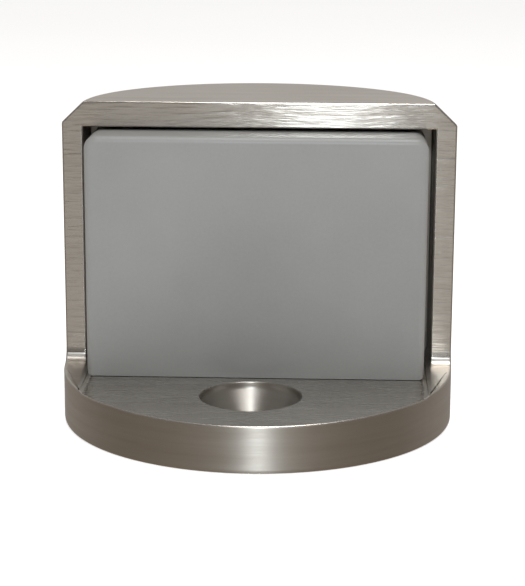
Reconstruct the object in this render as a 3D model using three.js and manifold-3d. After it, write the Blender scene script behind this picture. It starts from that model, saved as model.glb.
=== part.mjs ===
// Half-dome floor door stop: a one-piece plated metal body that screws to the floor, with a grey rubber
// block bonded into a pocket in its flat front.
//
// Millimetres, +Z up. The origin is the centre of the round base, on its underside. The front, which the
// door meets, faces -Y.

import * as THREE from 'three';
import { mergeVertices } from 'three/addons/utils/BufferGeometryUtils.js';
import Module from 'manifold-3d';

const wasm = await Module();
wasm.setup();

// ---- driving dimensions ----

// body
const baseDiameter = 44.45;
const overallHeight = 36.1;
const floorHeight = 5.5; // base thickness under the milled channel
const frontPlaneY = 0.3; // flat front of the half-cylinder
const topBevelWidth = 2.5;
const topBevelDrop = 2.4;
const bottomEdgeBreak = 0.3;

// shoulders: the strips of base top outside the channel, which rise a little towards the front plane
const shoulderHeight = 6.15; // where a shoulder would meet the front plane without its fillet
const shoulderSlope = 0.04;
const shoulderFillet = 1.5;

// pocket in the front plane, run forward as a channel through the base top
const pocketWidth = 39.7;
const pocketCeiling = 33.2;
const pocketDepth = 6.2; // behind the front plane
const channelCornerRadius = 1.3;

// countersunk screw hole in the base
const holeX = -0.3;
const holeY = -11.6;
const holeDiameter = 6.4;
const headDiameter = 11.1;
const headLip = 0.7; // short straight wall above the cone
const countersinkAngle = 82;

// rubber block and the bonded layer behind it
const rubberWidth = 38.1;
const rubberShiftX = -0.15;
const rubberProud = 5.0; // how far the block stands out of the front plane
const rubberTopGap = 0.35;
const rubberCornerRadius = 1.5; // top corners
const rubberFootRadius = 0.5; // bottom corners
const rubberEdgeRound = 0.8; // not along the bottom, which sits flat on the floor of the pocket
const adhesiveThickness = 0.5;
const adhesiveMargin = 2.2; // adhesive stops this far inside the outline of the block
const restingGap = 0.05; // between two pieces that rest on each other

// facets
const bodySegments = 160;
const holeSegments = 72;
const arcSegments = 8;

// ---- values worked out from them ----

const bodyRadius = baseDiameter / 2;
const overshoot = 4; // how far a cutter runs past the body
const rubberBottom = floorHeight + restingGap;
const rubberTop = pocketCeiling - rubberTopGap;
const pocketBack = frontPlaneY + pocketDepth;
const adhesiveBack = pocketBack - restingGap;
const adhesiveFront = adhesiveBack - adhesiveThickness;
const rubberBack = adhesiveFront - restingGap;
const rubberFront = frontPlaneY - rubberProud;

// ---- materials ----

const satinMetal = new THREE.MeshStandardMaterial({
  color: 0x9d978e,
  roughness: 0.34,
  metalness: 1.0,
});
const greyRubber = new THREE.MeshStandardMaterial({
  color: 0x8f8f8b,
  roughness: 0.45,
  metalness: 0.0,
});
const adhesive = new THREE.MeshStandardMaterial({
  color: 0xd8d4c4,
  roughness: 0.6,
  metalness: 0.0,
});

// ---- helpers ----

// Reduces a geometry to merged positions, which is what a closed solid needs.
function weld(geometry) {
  const bare = geometry.index ? geometry.toNonIndexed() : geometry.clone();
  bare.deleteAttribute('normal');
  bare.deleteAttribute('uv');
  return mergeVertices(bare, 1e-4);
}

function toSolid(geometry) {
  const welded = weld(geometry);
  const vertProperties = new Float32Array(welded.attributes.position.array);
  const triVerts = new Uint32Array(welded.index.array);
  return new wasm.Manifold(new wasm.Mesh({ numProp: 3, vertProperties, triVerts }));
}

function toGeometry(solid) {
  const mesh = solid.getMesh();
  const geometry = new THREE.BufferGeometry();
  geometry.setAttribute('position', new THREE.BufferAttribute(mesh.vertProperties, 3));
  geometry.setIndex(new THREE.BufferAttribute(mesh.triVerts, 1));
  geometry.computeVertexNormals();
  return geometry;
}

// Turns a list of [radius, z] around the Z axis.
function turned(profile, segments) {
  const points = profile.map(([radius, z]) => new THREE.Vector2(radius, z));
  return new THREE.LatheGeometry(points, segments).rotateX(Math.PI / 2);
}

// Extrudes a shape drawn in (y, z) along X, from -halfLength to +halfLength.
function extrudedAlongX(shape, halfLength) {
  const geometry = new THREE.ExtrudeGeometry(shape, {
    depth: 2 * halfLength,
    bevelEnabled: false,
    curveSegments: arcSegments,
  });
  const alongX = new THREE.Matrix4().makeBasis(
    new THREE.Vector3(0, 1, 0),
    new THREE.Vector3(0, 0, 1),
    new THREE.Vector3(1, 0, 0),
  );
  return geometry.applyMatrix4(alongX).translate(-halfLength, 0, 0);
}

// Extrudes a shape drawn in (x, z) along Y, from yFront to yBack. A round above zero rounds both ends.
function extrudedAlongY(shape, yFront, yBack, round = 0) {
  const geometry = new THREE.ExtrudeGeometry(shape, {
    depth: yBack - yFront - 2 * round,
    bevelEnabled: round > 0,
    bevelThickness: round,
    bevelSize: round,
    bevelOffset: -round,
    bevelSegments: arcSegments / 2,
    curveSegments: arcSegments,
  });
  return geometry.rotateX(Math.PI / 2).translate(0, yBack - round, 0);
}

function roundedRectangle(x0, z0, x1, z1, radius) {
  const shape = new THREE.Shape();
  shape.moveTo(x0 + radius, z0);
  shape.lineTo(x1 - radius, z0);
  shape.absarc(x1 - radius, z0 + radius, radius, -Math.PI / 2, 0, false);
  shape.lineTo(x1, z1 - radius);
  shape.absarc(x1 - radius, z1 - radius, radius, 0, Math.PI / 2, false);
  shape.lineTo(x0 + radius, z1);
  shape.absarc(x0 + radius, z1 - radius, radius, Math.PI / 2, Math.PI, false);
  shape.lineTo(x0, z0 + radius);
  shape.absarc(x0 + radius, z0 + radius, radius, Math.PI, 1.5 * Math.PI, false);
  return shape;
}

// ---- cutters for the body ----

// Everything in front of the front plane and above the shoulders.
function frontCutter() {
  const shoulderAt = (y) => shoulderHeight + shoulderSlope * (y - frontPlaneY);
  const yFar = -bodyRadius - overshoot;
  const zHigh = overallHeight + overshoot;
  const filletY = frontPlaneY - shoulderFillet;
  const tilt = Math.atan(shoulderSlope);
  const filletZ = shoulderAt(filletY) + shoulderFillet / Math.cos(tilt);
  const shape = new THREE.Shape();
  shape.moveTo(yFar, zHigh);
  shape.lineTo(yFar, shoulderAt(yFar));
  shape.absarc(filletY, filletZ, shoulderFillet, -Math.PI / 2 + tilt, 0, false);
  shape.lineTo(frontPlaneY, zHigh);
  return extrudedAlongX(shape, bodyRadius + overshoot);
}

// The pocket, with square corners at its ceiling and rounded ones at its floor, and the channel that runs
// forward from it through the front of the base.
function pocketCutter() {
  const halfWidth = pocketWidth / 2;
  const radius = channelCornerRadius;
  const shape = new THREE.Shape();
  shape.moveTo(-halfWidth, pocketCeiling);
  shape.lineTo(-halfWidth, floorHeight + radius);
  shape.absarc(-halfWidth + radius, floorHeight + radius, radius, Math.PI, 1.5 * Math.PI, false);
  shape.lineTo(halfWidth - radius, floorHeight);
  shape.absarc(halfWidth - radius, floorHeight + radius, radius, -Math.PI / 2, 0, false);
  shape.lineTo(halfWidth, pocketCeiling);
  return extrudedAlongY(shape, -bodyRadius - overshoot, pocketBack);
}

function screwHoleCutter() {
  const headRadius = headDiameter / 2;
  const holeRadius = holeDiameter / 2;
  const coneTop = floorHeight - headLip;
  const coneSide = Math.tan(THREE.MathUtils.degToRad(countersinkAngle / 2));
  const coneBottom = coneTop - (headRadius - holeRadius) / coneSide;
  const profile = [
    [0, -overshoot],
    [holeRadius, -overshoot],
    [holeRadius, coneBottom],
    [headRadius, coneTop],
    [headRadius, floorHeight + overshoot],
    [0, floorHeight + overshoot],
  ];
  return turned(profile, holeSegments).translate(holeX, holeY, 0);
}

// ---- pieces ----

function stopBody() {
  const profile = [
    [0, 0],
    [bodyRadius - bottomEdgeBreak, 0],
    [bodyRadius, bottomEdgeBreak],
    [bodyRadius, overallHeight - topBevelDrop],
    [bodyRadius - topBevelWidth, overallHeight],
    [0, overallHeight],
  ];
  const solid = toSolid(turned(profile, bodySegments))
    .subtract(toSolid(frontCutter()))
    .subtract(toSolid(pocketCutter()))
    .subtract(toSolid(screwHoleCutter()));
  return toGeometry(solid);
}

// A block rounded on every edge, which starts below the pocket floor and is trimmed flat at its foot.
function rubberBumper() {
  const halfWidth = rubberWidth / 2;
  const zLow = rubberBottom - overshoot;
  const zHigh = rubberTop + overshoot;
  const outline = roundedRectangle(-halfWidth, zLow, halfWidth, rubberTop, rubberCornerRadius);
  const block = extrudedAlongY(outline, rubberFront, rubberBack, rubberEdgeRound);
  const kept = roundedRectangle(-halfWidth, rubberBottom, halfWidth, zHigh, rubberFootRadius);
  const trim = extrudedAlongY(kept, rubberFront - overshoot, rubberBack + overshoot);
  return toGeometry(toSolid(block).intersect(toSolid(trim)));
}

function bumperAdhesive() {
  const halfWidth = rubberWidth / 2 - adhesiveMargin;
  const bottom = rubberBottom + adhesiveMargin;
  const top = rubberTop - adhesiveMargin;
  const outline = roundedRectangle(-halfWidth, bottom, halfWidth, top, rubberCornerRadius);
  return weld(extrudedAlongY(outline, adhesiveFront, adhesiveBack));
}

function named(name, geometry, material) {
  const mesh = new THREE.Mesh(geometry, material);
  mesh.name = name;
  return mesh;
}

// ---- assembly ----

const doorStop = new THREE.Group();
doorStop.add(named('stop_body', stopBody(), satinMetal));

const bumper = new THREE.Group();
bumper.position.x = rubberShiftX;
bumper.add(named('rubber_bumper', rubberBumper(), greyRubber));
bumper.add(named('bumper_adhesive', bumperAdhesive(), adhesive));
doorStop.add(bumper);

export default doorStop;
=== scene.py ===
import math

import bmesh
import bpy
from mathutils import Matrix, Vector, noise

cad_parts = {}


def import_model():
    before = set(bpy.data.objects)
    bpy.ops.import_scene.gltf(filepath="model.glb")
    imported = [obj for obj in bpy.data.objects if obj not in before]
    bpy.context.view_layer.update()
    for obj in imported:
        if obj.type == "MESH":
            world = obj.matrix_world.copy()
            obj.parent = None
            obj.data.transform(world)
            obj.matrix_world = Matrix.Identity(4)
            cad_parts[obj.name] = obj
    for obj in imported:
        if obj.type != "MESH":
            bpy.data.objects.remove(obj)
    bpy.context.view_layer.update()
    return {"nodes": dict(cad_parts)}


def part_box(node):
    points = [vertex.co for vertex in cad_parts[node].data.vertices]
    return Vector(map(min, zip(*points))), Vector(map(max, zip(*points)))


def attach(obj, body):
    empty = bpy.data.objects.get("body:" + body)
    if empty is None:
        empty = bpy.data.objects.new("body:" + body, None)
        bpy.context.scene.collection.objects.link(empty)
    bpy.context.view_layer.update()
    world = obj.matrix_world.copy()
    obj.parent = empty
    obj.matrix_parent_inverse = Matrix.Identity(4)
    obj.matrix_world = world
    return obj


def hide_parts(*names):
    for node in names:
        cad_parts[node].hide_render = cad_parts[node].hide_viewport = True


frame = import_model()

# ---- sizes ----------------------------------------------------------------------------------------------
# The builders below work in millimetres; to_piece() scales their meshes to metres.

MM = 0.001


def node_box_mm(node):
    low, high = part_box(node)
    return Vector(low) / MM, Vector(high) / MM


body_low, body_high = node_box_mm("stop_body")
rubber_low, rubber_high = node_box_mm("rubber_bumper")
bond_back_y = node_box_mm("bumper_adhesive")[1].y

# metal body
RADIUS = (body_high.x - body_low.x) / 2
HEIGHT = body_high.z
RUBBER_PROUD = 5.0  # how far the rubber stands out of the front plane
FRONT_Y = rubber_low.y + RUBBER_PROUD
TOP_BEVEL_WIDTH = 2.5
TOP_BEVEL_DROP = 2.4
BOTTOM_EDGE_BREAK = 0.3
EDGE_ROUND = 0.2
RESTING_GAP = 0.05  # between two pieces that rest on each other
FLOOR_Z = rubber_low.z - RESTING_GAP  # floor of the pocket and of the channel
POCKET_BACK_Y = bond_back_y + RESTING_GAP
RUBBER_TOP_GAP = 0.35
POCKET_CEILING_Z = rubber_high.z + RUBBER_TOP_GAP
POCKET_HALF_WIDTH = 39.7 / 2
CHANNEL_CORNER = 1.3
SHOULDER_Z = 6.15  # where a shoulder would meet the front plane without its fillet
SHOULDER_SLOPE = 0.04
SHOULDER_FILLET = 1.5
HOLE_CENTRE = Vector((-0.3, -11.6, 0.0))
HOLE_RADIUS = 6.4 / 2
HEAD_RADIUS = 11.1 / 2
HEAD_LIP = 0.7  # height of the straight wall above the cone
COUNTERSINK_ANGLE = 82

# rubber block
RUBBER_CORNER = 1.5  # top corners
RUBBER_FOOT = 0.5  # bottom corners
RUBBER_ROUND = 0.85  # front edges, but not the one at the foot
GRID_PITCH = 1.4  # of the grid that the front face is divided into
FRONT_SLACK = 0.02  # how far a point may lie off the front face and still belong to it
WAVER_INSET = 0.05  # keeps the wavering front face behind the flat one of the CAD

# meshes
WELD_DISTANCE = 1e-5
RING_STEPS = 96  # round the hole, and on each side of the front plane round the body
ARC_STEPS = 10
OVERSHOOT = 5  # how far a cutter runs past the body
RUN_ON = 4  # how far the rubber blank and its trim run past the block


# ---- mesh helpers ---------------------------------------------------------------------------------------


def new_object(name, data):
    obj = bpy.data.objects.new(name, data)
    bpy.context.scene.collection.objects.link(obj)
    return obj


def mesh_from(name, vertices, faces):
    mesh = bpy.data.meshes.new(name)
    mesh.from_pydata([tuple(v) for v in vertices], [], faces)
    bm = bmesh.new()
    bm.from_mesh(mesh)
    bmesh.ops.remove_doubles(bm, verts=bm.verts, dist=WELD_DISTANCE)
    bmesh.ops.recalc_face_normals(bm, faces=bm.faces)
    bm.to_mesh(mesh)
    bm.free()
    return mesh


def arc(centre, radius, start, end, steps):
    """Points on an arc in a plane, angles in degrees."""
    points = []
    for i in range(steps + 1):
        a = math.radians(start + (end - start) * i / steps)
        points.append((centre[0] + radius * math.cos(a), centre[1] + radius * math.sin(a)))
    return points


def lathe(name, profile, angles):
    """Turns [radius, z] points round Z. The first and last points lie on the axis."""
    inner = profile[1:-1]
    vertices = [(r * math.cos(a), r * math.sin(a), z) for r, z in inner for a in angles]
    count = len(angles)
    faces = []
    for ring in range(len(inner) - 1):
        for i in range(count):
            j = (i + 1) % count
            low, high = ring * count, (ring + 1) * count
            faces.append((low + i, low + j, high + j, high + i))
    last = (len(inner) - 1) * count
    faces.append(tuple(reversed(range(count))))
    faces.append(tuple(last + i for i in range(count)))
    return mesh_from(name, vertices, faces)


def prism(name, outline, place):
    """A closed prism. place(u, v, end) gives the corner of outline point (u, v) at end 0 or 1."""
    count = len(outline)
    vertices = [place(u, v, end) for end in (0, 1) for u, v in outline]
    faces = [tuple(range(count)), tuple(range(count, 2 * count))]
    for i in range(count):
        j = (i + 1) % count
        faces.append((i, j, count + j, count + i))
    return mesh_from(name, vertices, faces)


def apply_modifiers(obj):
    depsgraph = bpy.context.evaluated_depsgraph_get()
    made = bpy.data.meshes.new_from_object(obj.evaluated_get(depsgraph))
    old = obj.data
    obj.modifiers.clear()
    obj.data = made
    bpy.data.meshes.remove(old)


def cut(obj, cutter_mesh, operation="DIFFERENCE"):
    cutter = new_object("cutter", cutter_mesh)
    modifier = obj.modifiers.new("cut", "BOOLEAN")
    modifier.operation = operation
    modifier.solver = "EXACT"
    modifier.object = cutter
    apply_modifiers(obj)
    bpy.data.objects.remove(cutter)
    bpy.data.meshes.remove(cutter_mesh)


def to_piece(obj):
    obj.data.transform(Matrix.Scale(MM, 4))
    obj.data.update()
    return obj


# ---- metal body -----------------------------------------------------------------------------------------


def split_angles(radius, y, steps):
    """Angles of a ring whose points include the two where it crosses the plane at y."""
    start = math.asin(y / radius)
    back = [start + (math.pi - 2 * start) * i / steps for i in range(steps)]
    front = [math.pi - start + (math.pi + 2 * start) * i / steps for i in range(steps)]
    return back + front


def body_blank():
    profile = [
        (0, 0),
        (RADIUS - BOTTOM_EDGE_BREAK, 0),
        (RADIUS, BOTTOM_EDGE_BREAK),
        (RADIUS, HEIGHT - TOP_BEVEL_DROP),
        (RADIUS - TOP_BEVEL_WIDTH, HEIGHT),
        (0, HEIGHT),
    ]
    return lathe("stop_body_fine", profile, split_angles(RADIUS, FRONT_Y, RING_STEPS))


def shoulder_z(y):
    """The height of a shoulder at y, leaving out its fillet."""
    return SHOULDER_Z + SHOULDER_SLOPE * (y - FRONT_Y)


def front_cutter():
    """Everything in front of the front plane and above the shoulders."""
    tilt = math.degrees(math.atan(SHOULDER_SLOPE))
    fillet_y = FRONT_Y - SHOULDER_FILLET
    fillet_z = shoulder_z(fillet_y) + SHOULDER_FILLET / math.cos(math.radians(tilt))
    y_far = -RADIUS - OVERSHOOT
    outline = [(y_far, HEIGHT + OVERSHOOT), (y_far, shoulder_z(y_far))]
    outline += arc((fillet_y, fillet_z), SHOULDER_FILLET, tilt - 90, 0, ARC_STEPS)
    outline.append((FRONT_Y, HEIGHT + OVERSHOOT))
    half = RADIUS + OVERSHOOT
    return prism("front_cutter", outline, lambda y, z, end: (half * (2 * end - 1), y, z))


def pocket_cutter():
    """The pocket, and the channel that runs forward from it through the front of the base."""
    w, r = POCKET_HALF_WIDTH, CHANNEL_CORNER
    outline = [(-w, POCKET_CEILING_Z)]
    outline += arc((r - w, FLOOR_Z + r), r, 180, 270, ARC_STEPS)
    outline += arc((w - r, FLOOR_Z + r), r, -90, 0, ARC_STEPS)
    outline.append((w, POCKET_CEILING_Z))
    ends = (-RADIUS - OVERSHOOT, POCKET_BACK_Y)
    return prism("pocket_cutter", outline, lambda x, z, end: (x, ends[end], z))


def hole_cutter():
    """The countersunk screw hole."""
    cone_top = FLOOR_Z - HEAD_LIP
    slope = math.tan(math.radians(COUNTERSINK_ANGLE / 2))
    cone_bottom = cone_top - (HEAD_RADIUS - HOLE_RADIUS) / slope
    profile = [
        (0, -OVERSHOOT),
        (HOLE_RADIUS, -OVERSHOOT),
        (HOLE_RADIUS, cone_bottom),
        (HEAD_RADIUS, cone_top),
        (HEAD_RADIUS, FLOOR_Z + OVERSHOOT),
        (0, FLOOR_Z + OVERSHOOT),
    ]
    angles = [2 * math.pi * i / RING_STEPS for i in range(RING_STEPS)]
    mesh = lathe("hole_cutter", profile, angles)
    mesh.transform(Matrix.Translation(HOLE_CENTRE))
    return mesh


def close_slivers(obj):
    """Moves points a hair off the front plane onto it and merges the sliver edges that the cuts left."""
    hair = 0.05
    shortest_edge = 1e-4
    bm = bmesh.new()
    bm.from_mesh(obj.data)
    for vertex in bm.verts:
        if abs(vertex.co.y - FRONT_Y) < hair:
            vertex.co.y = FRONT_Y
    bmesh.ops.remove_doubles(bm, verts=bm.verts, dist=hair)
    bmesh.ops.dissolve_degenerate(bm, edges=bm.edges, dist=shortest_edge)
    bm.to_mesh(obj.data)
    bm.free()


def round_edges(obj):
    """Rounds every edge where the surface turns by more than 31 degrees."""
    sharper_than = 31
    bevel = obj.modifiers.new("round", "BEVEL")
    bevel.width = EDGE_ROUND
    bevel.segments = 3
    bevel.limit_method = "ANGLE"
    bevel.angle_limit = math.radians(sharper_than)
    bevel.use_clamp_overlap = False
    weighted = obj.modifiers.new("weighted", "WEIGHTED_NORMAL")
    weighted.weight = 60
    weighted.keep_sharp = False
    obj.data.shade_smooth()
    apply_modifiers(obj)


# The finish of each zone of the body, in the order of its material slots.
TURNED, FRONT, TOP, CHANNEL, SHOULDER, HOLE, POCKET = range(7)


def zone_of(centre, normal):
    """The finish of one face. The margins decide which zone the rounded edges between two zones go to."""
    margin = 0.1
    slip = 0.02
    from_hole = (Vector((centre.x, centre.y, 0)) - HOLE_CENTRE).length
    round_hole = from_hole < HEAD_RADIUS + margin
    if normal.z < 0.95 and round_hole and margin < centre.z < FLOOR_Z + slip / 2:
        return HOLE
    between_sides = abs(centre.x) < POCKET_HALF_WIDTH + slip
    in_pocket = between_sides and FLOOR_Z < centre.z < POCKET_CEILING_Z + slip
    if in_pocket and FRONT_Y + margin < centre.y < POCKET_BACK_Y + margin / 2:
        return POCKET
    if abs(centre.y - FRONT_Y) < 1.5 * margin and normal.y < -0.6:
        return FRONT
    if centre.z > HEIGHT - margin and normal.z > 0.9:
        return TOP
    highest_fillet = SHOULDER_Z + 2
    if normal.z > 0.3 and centre.z < highest_fillet and centre.y < FRONT_Y:
        on_channel = abs(centre.x) < POCKET_HALF_WIDTH - CHANNEL_CORNER + margin
        return CHANNEL if on_channel else SHOULDER
    return TURNED


def stop_body():
    obj = new_object("stop_body_fine", body_blank())
    cut(obj, front_cutter())
    cut(obj, pocket_cutter())
    cut(obj, hole_cutter())
    close_slivers(obj)
    round_edges(obj)
    for polygon in obj.data.polygons:
        polygon.material_index = zone_of(polygon.center, polygon.normal)
    return to_piece(obj)


# ---- rubber block ---------------------------------------------------------------------------------------


def rounded_outline(low, high, corner, inset, per_corner=7, per_side=(26, 18)):
    """A rounded rectangle in (x, z), drawn inset, with the same number of points at every inset."""
    smallest_corner = 0.05
    r = max(corner - inset, smallest_corner)
    x0, x1 = low.x + inset + r, high.x - inset - r
    z0, z1 = low.z + inset + r, high.z - inset - r
    corners = [((x1, z0), -90), ((x1, z1), 0), ((x0, z1), 90), ((x0, z0), 180)]
    points = []
    for k, (centre, start) in enumerate(corners):
        points += arc(centre, r, start, start + 90, per_corner)
        next_centre, next_start = corners[(k + 1) % 4]
        begin = Vector(points[-1])
        end = Vector(arc(next_centre, r, next_start, next_start, 1)[0])
        steps = per_side[k % 2 == 0]
        points += [tuple(begin.lerp(end, i / steps)) for i in range(1, steps)]
    return points


def moulding_waver(x, z):
    """The slow unevenness of a moulded face, in millimetres. 3.7 and 9.1 only pick two slices of noise."""
    broad_scale = 0.13
    broad_depth = 0.035
    fine_scale = 0.5
    fine_depth = 0.012
    broad = noise.noise(Vector((x * broad_scale, 3.7, z * broad_scale)))
    fine = noise.noise(Vector((x * fine_scale, 9.1, z * fine_scale)))
    return broad_depth * broad + fine_depth * fine


def rubber_blank():
    """The block with its front edges rounded and its back edges just broken, run on below its foot."""
    low, high = rubber_low - Vector((0, 0, RUN_ON)), rubber_high
    r = RUBBER_ROUND
    back_break = r * 0.4
    steps = 7
    rings = arc((low.y + r, r), r, 180, 270, steps)
    rings += [(high.y - back_break, 0.0), (high.y, back_break)]
    vertices, faces = [], []
    for y, inset in rings:
        vertices += [(x, y, z) for x, z in rounded_outline(low, high, RUBBER_CORNER, inset)]
    count = len(vertices) // len(rings)
    for ring in range(len(rings) - 1):
        for i in range(count):
            j = (i + 1) % count
            a, b = ring * count, (ring + 1) * count
            faces.append((a + i, a + j, b + j, b + i))
    last = (len(rings) - 1) * count
    faces.append(tuple(range(count)))
    faces.append(tuple(last + i for i in range(count)))
    return mesh_from("rubber_bumper_fine", vertices, faces)


def foot_trim():
    """A prism with a flat foot and small bottom corners. It keeps what is inside it."""
    r = RUBBER_FOOT
    slack = 0.02
    steps = 6
    x0, x1 = rubber_low.x - slack, rubber_high.x + slack
    z0, z1 = rubber_low.z, rubber_high.z + RUN_ON
    outline = arc((x1 - r, z0 + r), r, -90, 0, steps)
    outline += [(x1, z1), (x0, z1)]
    outline += arc((x0 + r, z0 + r), r, 180, 270, steps)
    ends = (rubber_low.y - RUN_ON, rubber_high.y + RUN_ON)
    return prism("foot_trim", outline, lambda x, z, end: (x, ends[end], z))


def rubber_block():
    obj = new_object("rubber_bumper_fine", rubber_blank())
    cut(obj, foot_trim(), "INTERSECT")
    grid_front_face(obj)
    obj.data.shade_smooth()
    sharper_than = 50
    obj.data.set_sharp_from_angle(angle=math.radians(sharper_than))
    return to_piece(obj)


def grid_planes():
    """The upright and level planes that divide the front of the rubber, each a point and a normal."""
    first = 2.2
    last = 2.0
    planes = []
    for axis in (0, 2):
        normal = Vector((0, 0, 0))
        normal[axis] = 1
        at = rubber_low[axis] + first
        while at < rubber_high[axis] - last:
            point = Vector((0, 0, 0))
            point[axis] = at
            planes.append((point, normal))
            at += GRID_PITCH
    return planes


def is_front_face(face):
    off = abs(face.calc_center_median().y - rubber_low.y)
    return face.normal.y < -0.999 and off < FRONT_SLACK


def grid_front_face(obj):
    """Divides the flat front into a grid and gives it the slow waver of a moulded face."""
    bm = bmesh.new()
    bm.from_mesh(obj.data)
    front = [face for face in bm.faces if face.normal.y < -0.99 and len(face.verts) > 8]
    for point, normal in grid_planes():
        edges = list({edge for face in front for edge in face.edges})
        vertices = list({vertex for face in front for vertex in face.verts})
        bmesh.ops.bisect_plane(bm, geom=front + edges + vertices, plane_co=point, plane_no=normal)
        front = [face for face in bm.faces if is_front_face(face)]
    for vertex in bm.verts:
        if abs(vertex.co.y - rubber_low.y) < FRONT_SLACK:
            vertex.co.y += WAVER_INSET + moulding_waver(vertex.co.x, vertex.co.z)
    bm.to_mesh(obj.data)
    bm.free()


# ---- materials ------------------------------------------------------------------------------------------


class Nodes:
    """A short way to write a node tree."""

    def __init__(self, tree):
        self.tree = tree

    def add(self, kind, **settings):
        node = self.tree.nodes.new(kind)
        for key, value in settings.items():
            setattr(node, key, value)
        return node

    def link(self, source, target):
        self.tree.links.new(source, target)

    def object_point(self):
        return self.add("ShaderNodeTexCoord").outputs["Object"]

    def noise(self, point, scale, detail=3.0, rough=0.55, offset=0.0):
        """Noise of the point scaled by a vector, in cells per metre."""
        mapping = self.add("ShaderNodeMapping")
        mapping.inputs["Scale"].default_value = scale
        mapping.inputs["Location"].default_value = (offset, offset, offset)
        self.link(point, mapping.inputs["Vector"])
        texture = self.add("ShaderNodeTexNoise")
        texture.inputs["Scale"].default_value = 1.0
        texture.inputs["Detail"].default_value = detail
        texture.inputs["Roughness"].default_value = rough
        self.link(mapping.outputs["Vector"], texture.inputs["Vector"])
        return texture.outputs["Fac"]

    def math(self, operation, *values):
        node = self.add("ShaderNodeMath", operation=operation)
        for socket, value in zip(node.inputs, values):
            if isinstance(value, (int, float)):
                socket.default_value = value
            else:
                self.link(value, socket)
        return node.outputs[0]

    def ramp(self, value, stops):
        node = self.add("ShaderNodeValToRGB")
        elements = node.color_ramp.elements
        while len(elements) < len(stops):
            elements.new(0.5)
        for element, (position, colour) in zip(elements, stops):
            element.position = position
            element.color = (*colour, 1)
        self.link(value, node.inputs["Fac"])
        return node.outputs["Color"]

    def between(self, value, low, high):
        node = self.add("ShaderNodeMapRange")
        node.inputs["To Min"].default_value = low
        node.inputs["To Max"].default_value = high
        self.link(value, node.inputs["Value"])
        return node.outputs["Result"]

    def bump(self, height, distance, strength=1.0, under=None):
        node = self.add("ShaderNodeBump")
        node.inputs["Strength"].default_value = strength
        node.inputs["Distance"].default_value = distance
        self.link(height, node.inputs["Height"])
        if under is not None:
            self.link(under, node.inputs["Normal"])
        return node.outputs["Normal"]

    def mixed(self, factor, a, b):
        """A blend of two colours. The colour sockets of this node are inputs 6 and 7 and output 2."""
        node = self.add("ShaderNodeMix", data_type="RGBA")
        self.link(factor, node.inputs["Factor"])
        self.link(a, node.inputs[6])
        self.link(b, node.inputs[7])
        return node.outputs[2]


class MaterialNodes(Nodes):
    """The node tree of a new material."""

    def __init__(self, name):
        self.material = bpy.data.materials.new(name)
        self.material.use_nodes = True
        super().__init__(self.material.node_tree)
        self.shader = self.tree.nodes["Principled BSDF"]


NICKEL_DARK = (0.58, 0.535, 0.48)
NICKEL = (0.70, 0.66, 0.605)


def down_the_cone(nodes, point, centre):
    """The direction down the countersink towards the axis through centre, across its turned lines."""
    shifted = nodes.add("ShaderNodeVectorMath", operation="SUBTRACT")
    shifted.inputs[1].default_value = centre
    nodes.link(point, shifted.inputs[0])
    flat = nodes.add("ShaderNodeVectorMath", operation="MULTIPLY")
    flat.inputs[1].default_value = (1, 1, 0)
    nodes.link(shifted.outputs[0], flat.inputs[0])
    outward = nodes.add("ShaderNodeVectorMath", operation="NORMALIZE")
    nodes.link(flat.outputs[0], outward.inputs[0])
    steep = nodes.add("ShaderNodeVectorMath", operation="ADD")
    steep.inputs[1].default_value = (0, 0, 1)
    nodes.link(outward.outputs[0], steep.inputs[0])
    return steep.outputs[0]


def along(nodes, direction):
    node = nodes.add("ShaderNodeCombineXYZ")
    for socket, value in zip(node.inputs, direction):
        socket.default_value = value
    return node.outputs[0]


def nickel(name, grain, streak, across, roughness, anisotropy, bump, scratch=0.0, painted_shade_factor=1.0):
    """Satin nickel plate. grain and streak are noise scales, high across the brush lines and low along.

    across is the direction across the lines, or None for the turned lines of the countersink. bump and
    scratch are the depths of grain and streak, in metres. The shade factor scales both colours down to
    paint shade into the surface, 1.0 painting none.
    """
    cloud_scale = (90, 90, 90)
    roughness_spread = 0.04
    nodes = MaterialNodes(name)
    point = nodes.object_point()
    fine = nodes.noise(point, grain, detail=2.0)
    broad = nodes.noise(point, streak, detail=2.5, offset=7.3)
    cloud = nodes.noise(point, cloud_scale, detail=2.0, offset=3.1)
    tone = nodes.math("ADD", nodes.math("MULTIPLY", broad, 0.6), nodes.math("MULTIPLY", cloud, 0.4))
    # Both colours are scaled by the shade factor: painted shade, not a different metal.
    dark = [channel * painted_shade_factor for channel in NICKEL_DARK]
    light = [channel * painted_shade_factor for channel in NICKEL]
    colour = nodes.ramp(tone, [(0.3, dark), (0.72, light)])
    nodes.link(colour, nodes.shader.inputs["Base Color"])
    nodes.shader.inputs["Metallic"].default_value = 1.0
    nodes.shader.inputs["Anisotropic"].default_value = anisotropy
    rough = nodes.between(broad, roughness - roughness_spread, roughness + roughness_spread)
    nodes.link(rough, nodes.shader.inputs["Roughness"])
    if across is None:
        tangent = down_the_cone(nodes, point, tuple(HOLE_CENTRE * MM))
    else:
        tangent = along(nodes, across)
    nodes.link(tangent, nodes.shader.inputs["Tangent"])
    normal = nodes.bump(fine, bump)
    if scratch:
        normal = nodes.bump(broad, scratch, under=normal)
    nodes.link(normal, nodes.shader.inputs["Normal"])
    return nodes.material


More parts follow.
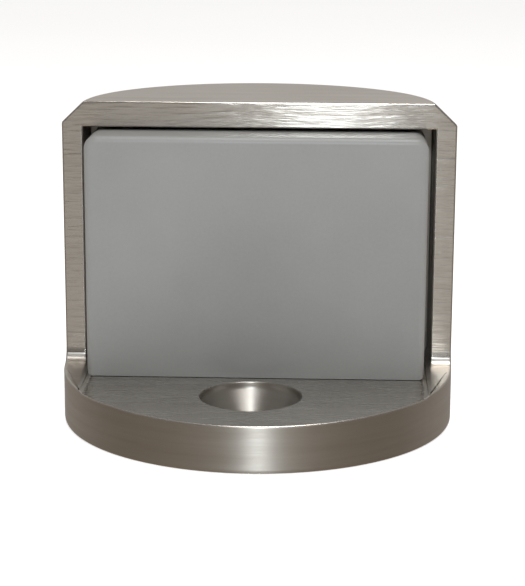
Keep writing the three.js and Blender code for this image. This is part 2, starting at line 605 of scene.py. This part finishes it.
def body_materials():
    """The finish of each zone."""
    return {
        TURNED: nickel(
            "nickel_turned", grain=(60, 60, 5200), streak=(70, 70, 1300), across=(0, 0, 1),
            roughness=0.46, anisotropy=0.95, bump=3e-6, scratch=4e-5,
        ),
        FRONT: nickel(
            "nickel_front", grain=(120, 60, 5200), streak=(230, 60, 2600), across=(0, 0, 1),
            roughness=0.21, anisotropy=1.0, bump=4e-6, scratch=7e-5,
        ),
        TOP: nickel(
            "nickel_top", grain=(300, 3200, 60), streak=(60, 500, 60), across=(0, 1, 0),
            roughness=0.36, anisotropy=0.2, bump=1.5e-6,
        ),
        # The channel floor's colour is scaled to 0.84: painted shade for the dark it reflects.
        CHANNEL: nickel(
            "nickel_channel", grain=(90, 4200, 60), streak=(90, 1500, 60), across=(0, 1, 0),
            roughness=0.27, anisotropy=0.1, bump=1.5e-6, scratch=3e-6, painted_shade_factor=0.84,
        ),
        SHOULDER: nickel(
            "nickel_shoulder", grain=(90, 4200, 60), streak=(60, 900, 60), across=(0, 1, 0),
            roughness=0.36, anisotropy=0.0, bump=5e-7,
        ),
        # The countersink's colour is scaled to 0.68: painted shade in the hollow of the hole.
        HOLE: nickel(
            "nickel_hole", grain=(80, 80, 4200), streak=(60, 60, 1500), across=None,
            roughness=0.42, anisotropy=0.8, bump=2e-6, painted_shade_factor=0.68,
        ),
        POCKET: nickel(
            "nickel_pocket", grain=(300, 3200, 300), streak=(60, 500, 60), across=(0, 1, 0),
            roughness=0.40, anisotropy=0.0, bump=2e-6,
        ),
    }


def rubber_material():
    """Grey moulded rubber. The cloud is the broad mottling and the speck is the fine grain."""
    dark = (0.272, 0.266, 0.255)
    light = (0.312, 0.306, 0.294)
    nodes = MaterialNodes("grey_rubber")
    point = nodes.object_point()
    cloud = nodes.noise(point, (70, 70, 70), detail=3.0)
    speck = nodes.noise(point, (2600, 2600, 2600), detail=2.0)
    tone = nodes.math("ADD", nodes.math("MULTIPLY", cloud, 0.75), nodes.math("MULTIPLY", speck, 0.25))
    nodes.link(nodes.ramp(tone, [(0.3, dark), (0.7, light)]), nodes.shader.inputs["Base Color"])
    nodes.link(nodes.between(cloud, 0.36, 0.46), nodes.shader.inputs["Roughness"])
    normal = nodes.bump(speck, 3e-6)
    nodes.link(nodes.bump(cloud, 4e-5, under=normal), nodes.shader.inputs["Normal"])
    return nodes.material


def adhesive_material():
    dark = (0.60, 0.56, 0.45)
    light = (0.70, 0.67, 0.57)
    nodes = MaterialNodes("cured_adhesive")
    cloud = nodes.noise(nodes.object_point(), (400, 400, 400), detail=3.0)
    nodes.link(nodes.ramp(cloud, [(0.3, dark), (0.7, light)]), nodes.shader.inputs["Base Color"])
    nodes.link(nodes.between(cloud, 0.4, 0.65), nodes.shader.inputs["Roughness"])
    nodes.link(nodes.bump(cloud, 3e-5), nodes.shader.inputs["Normal"])
    return nodes.material


# ---- stage ----------------------------------------------------------------------------------------------


def floor():
    """A pale floor that glows a little. Reflections leave it out, so the metal shows the darker room."""
    half = 3.0
    glow = 0.68
    dark = (0.80, 0.80, 0.80)
    light = (0.84, 0.84, 0.84)
    corners = [(-half, -half, 0), (half, -half, 0), (half, half, 0), (-half, half, 0)]
    obj = new_object("studio_floor", mesh_from("studio_floor", corners, [(0, 1, 2, 3)]))
    nodes = MaterialNodes("pale_floor")
    cloud = nodes.noise(nodes.object_point(), (6, 6, 6), detail=2.0)
    nodes.link(nodes.ramp(cloud, [(0.3, dark), (0.7, light)]), nodes.shader.inputs["Base Color"])
    nodes.shader.inputs["Roughness"].default_value = 0.9
    nodes.shader.inputs["Emission Color"].default_value = (1, 1, 1, 1)
    nodes.shader.inputs["Emission Strength"].default_value = glow
    obj.data.materials.append(nodes.material)
    obj.visible_glossy = False


def world():
    """The room. Low down it is brown at the sides and pale in front; high up it is darkest in front."""
    scene_world = bpy.data.worlds.new("studio")
    bpy.context.scene.world = scene_world
    scene_world.use_nodes = True
    nodes = Nodes(scene_world.node_tree)
    background = nodes.tree.nodes["Background"]
    direction = nodes.add("ShaderNodeTexCoord").outputs["Generated"]
    parts = nodes.add("ShaderNodeSeparateXYZ")
    nodes.link(direction, parts.inputs[0])
    y, z = parts.outputs[1:]
    # from 0 for a direction straight back to 1 for one straight out of the front
    frontness = nodes.math("MULTIPLY_ADD", y, -0.5, 0.5)
    # from 0 for straight down to 1 for straight up
    height = nodes.math("MULTIPLY_ADD", z, 0.5, 0.5)
    low_sides = nodes.ramp(frontness, [
        (0.0, (0.30, 0.27, 0.24)),
        (0.50, (0.205, 0.165, 0.125)),
        (0.85, (0.33, 0.28, 0.225)),
        (1.0, (0.59, 0.58, 0.56)),
    ])
    high_sides = nodes.ramp(frontness, [
        (0.0, (0.49, 0.477, 0.463)),
        (0.5, (0.24, 0.23, 0.22)),
        (1.0, (0.16, 0.15, 0.14)),
    ])
    horizon = nodes.ramp(height, [(0.47, (0, 0, 0)), (0.53, (1, 1, 1))])
    nodes.link(nodes.mixed(horizon, low_sides, high_sides), background.inputs["Color"])
    background.inputs["Strength"].default_value = 1.0


def area_light(name, location, size, power, colour=(1, 1, 1)):
    """A rectangular light aimed at the middle of the part."""
    middle = Vector((0, 0, 0.018))
    data = bpy.data.lights.new(name, "AREA")
    data.shape = "RECTANGLE"
    data.size, data.size_y = size
    data.energy = power
    data.color = colour
    obj = new_object(name, data)
    obj.location = location
    obj.rotation_mode = "QUATERNION"
    obj.rotation_quaternion = (middle - Vector(location)).to_track_quat("-Z", "Y")


def lights():
    bluish = (0.86, 0.94, 1.0)
    front = (0.008, -0.200, 0.145)
    above = (0.03, -0.01, 0.40)
    area_light("front_soft", location=front, size=(0.014, 0.036), power=0.19, colour=bluish)
    area_light("top_soft", location=above, size=(0.16, 0.16), power=0.75)


def camera():
    """The camera, as fitted to the outlines of the part. Its focal length is given in frame heights."""
    place_mm = (8.05, -200.43, 60.94)
    turn_left = 2.154
    tip_down = 13.086
    roll_left = 0.239
    focal_in_frames = 1800.9 / 586
    data = bpy.data.cameras.new("camera")
    data.sensor_width = 36
    data.lens = focal_in_frames * data.sensor_width
    data.clip_start = 0.01
    obj = new_object("camera", data)
    place = Matrix.Translation(Vector(place_mm) * MM)
    turn = Matrix.Rotation(math.radians(turn_left), 4, "Z")
    tip = Matrix.Rotation(math.radians(90 - tip_down), 4, "X")
    roll = Matrix.Rotation(math.radians(roll_left), 4, "Z")
    obj.matrix_world = place @ turn @ tip @ roll
    bpy.context.scene.camera = obj


# ---- assembly -------------------------------------------------------------------------------------------

camera()
floor()
world()
lights()
bpy.context.scene.view_settings.view_transform = "Standard"

body = stop_body()
for _, material in sorted(body_materials().items()):
    body.data.materials.append(material)
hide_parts("stop_body")
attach(body, "root")

rubber = rubber_block()
rubber.data.materials.append(rubber_material())
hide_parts("rubber_bumper")
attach(rubber, "root")

bond = frame["nodes"]["bumper_adhesive"]
for material_slot in bond.material_slots:
    material_slot.material = adhesive_material()
